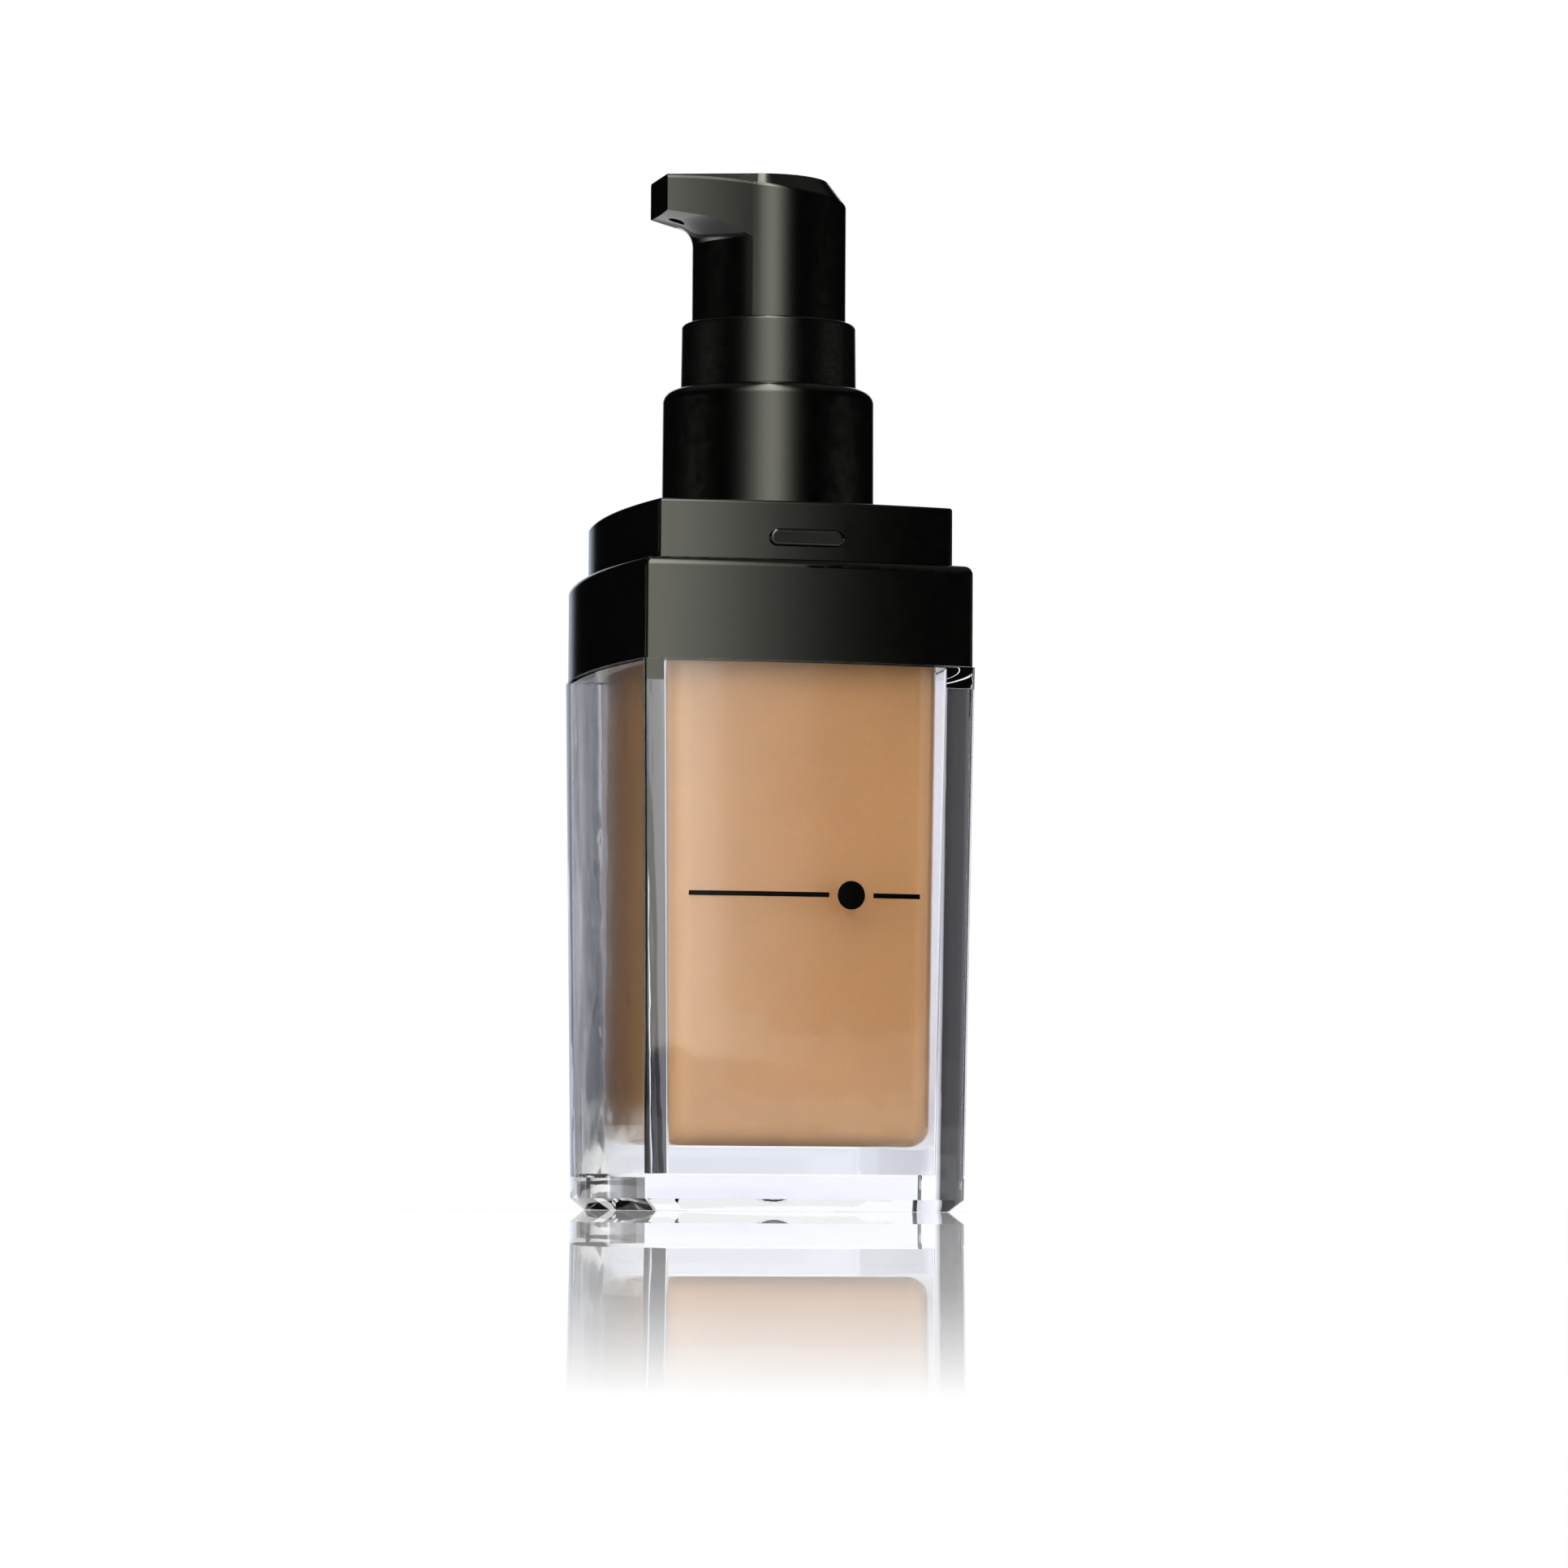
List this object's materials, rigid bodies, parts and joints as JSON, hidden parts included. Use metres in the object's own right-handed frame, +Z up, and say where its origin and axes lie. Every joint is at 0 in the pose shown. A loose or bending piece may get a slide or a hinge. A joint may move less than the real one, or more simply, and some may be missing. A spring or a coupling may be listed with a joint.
{
  "type": "foundation bottle",
  "caption": "Square clear double-walled foundation bottle with black shoulder, stepped cap seat and a beaked press pump on a threaded closure.",
  "frame": {"origin": "centre of the base, on the surface that the bottle stands on", "axes": "+Z up along the pump's axis, the beak points along -X, the printed face looks along -Y"},
  "size_m": [0.0362, 0.0362, 0.1028],
  "materials": {
    "clear_shell": "polished clear acrylic",
    "clear_inner": "polished clear plastic",
    "foundation": "opaque tan liquid",
    "black_gloss": "gloss black",
    "black_satin": "satin black",
    "natural_plastic": "natural translucent plastic",
    "gasket": "soft foam sheet",
    "spring_steel": "drawn stainless wire"
  },
  "bodies": {
    "bottle": {"outer_shell": "clear_shell", "inner_bottle": "clear_inner", "foundation_fill": "foundation", "shoulder_band": "black_gloss", "cap_seat": "black_gloss"},
    "pump": {"pump_housing": "natural_plastic", "neck_gasket": "gasket", "stem_guide": "natural_plastic", "dip_tube": "natural_plastic", "ball_cage": "natural_plastic", "return_spring": "spring_steel"},
    "closure": {"closure": "black_satin", "closure_sleeve": "black_gloss"},
    "plunger": {"piston_rod": "natural_plastic"},
    "seal": {"piston": "natural_plastic"},
    "actuator": {"stem": "natural_plastic", "nozzle_core": "black_satin", "actuator_cover": "black_gloss"},
    "check_ball": {"inlet_ball": "spring_steel"}
  },
  "joints": [
    {"name": "pump_lift", "type": "slide", "parent": "bottle", "child": "pump", "axis": [0, 0, 1], "range_m": [0, 0.00476]},
    {"name": "closure_turn", "type": "hinge", "parent": "pump", "child": "closure", "pos_m": [0, 0, 0.075], "axis": [0, 0, 1], "range_deg": [0, 540]},
    {"name": "actuator_press", "type": "slide", "parent": "pump", "child": "plunger", "axis": [0, 0, -1], "range_m": [0, 0.005], "stiffness_N_per_m": 300, "springref_m": -0.006, "deforming": ["return_spring"]},
    {"name": "actuator_turn", "type": "hinge", "parent": "plunger", "child": "actuator", "pos_m": [0, 0, 0.09], "axis": [0, 0, 1], "continuous": true},
    {"name": "seal_slip", "type": "slide", "parent": "plunger", "child": "seal", "axis": [0, 0, 1], "range_m": [0, 0.0012]},
    {"name": "ball_lift", "type": "slide", "parent": "pump", "child": "check_ball", "axis": [0, 0, 1], "range_m": [0, 0.0008]}
  ],
  "couplings": [
    {"joint": "closure_turn", "follows": "pump_lift", "rad_per_m": 1979},
    {"joint": "seal_slip", "follows": "actuator_press", "ratio": 0.24}
  ]
}
